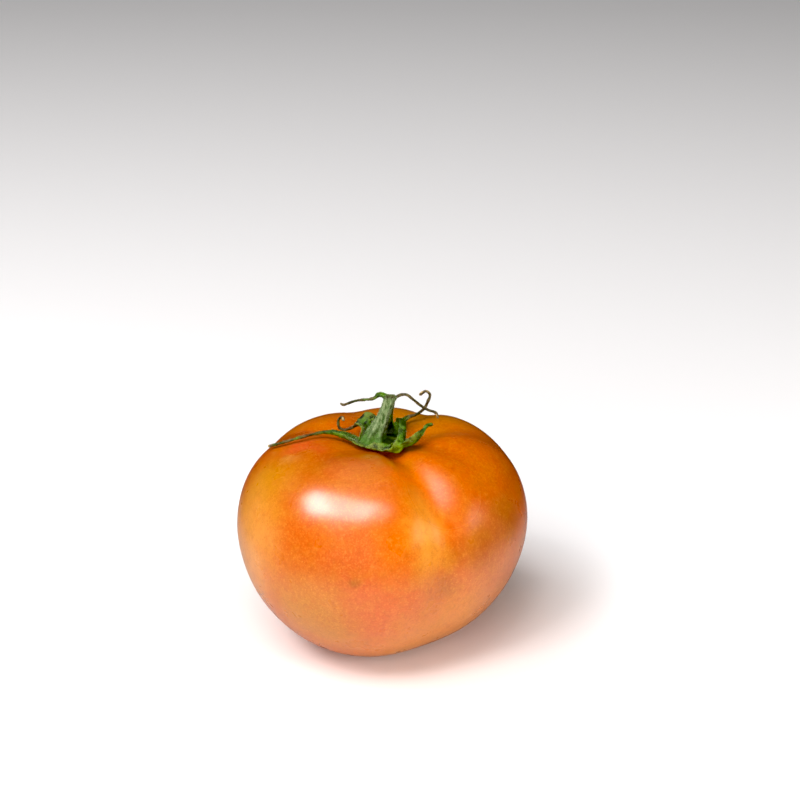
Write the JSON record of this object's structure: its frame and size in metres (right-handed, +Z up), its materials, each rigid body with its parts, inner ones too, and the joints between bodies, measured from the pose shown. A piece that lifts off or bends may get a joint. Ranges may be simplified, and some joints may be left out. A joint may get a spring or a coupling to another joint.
{
  "type": "salad tomato",
  "caption": "Round, slightly lobed salad tomato standing on a small flat spot, with its star-shaped calyx of thin curling sepals and a short stub of stem.",
  "frame": {"origin": "middle of the small flat spot at the blossom end that the fruit rests on", "axes": "+Z up along the fruit's core towards the stem, -Y to the front where the deepest furrow between two lobes is, +X to the right of it"},
  "size_m": [0.0799, 0.0792, 0.0711],
  "materials": {
    "tomato_skin": "smooth waxy skin, orange and half ripe, with soft wide highlights",
    "sepal": "fine hairs, green at the roots and dried olive brown to straw at the tips",
    "stem": "pale grey green, ribbed and downy, with a torn dark end"
  },
  "bodies": {
    "root": {"fruit": "tomato_skin", "calyx": "sepal", "stem": "stem"}
  },
  "joints": []
}
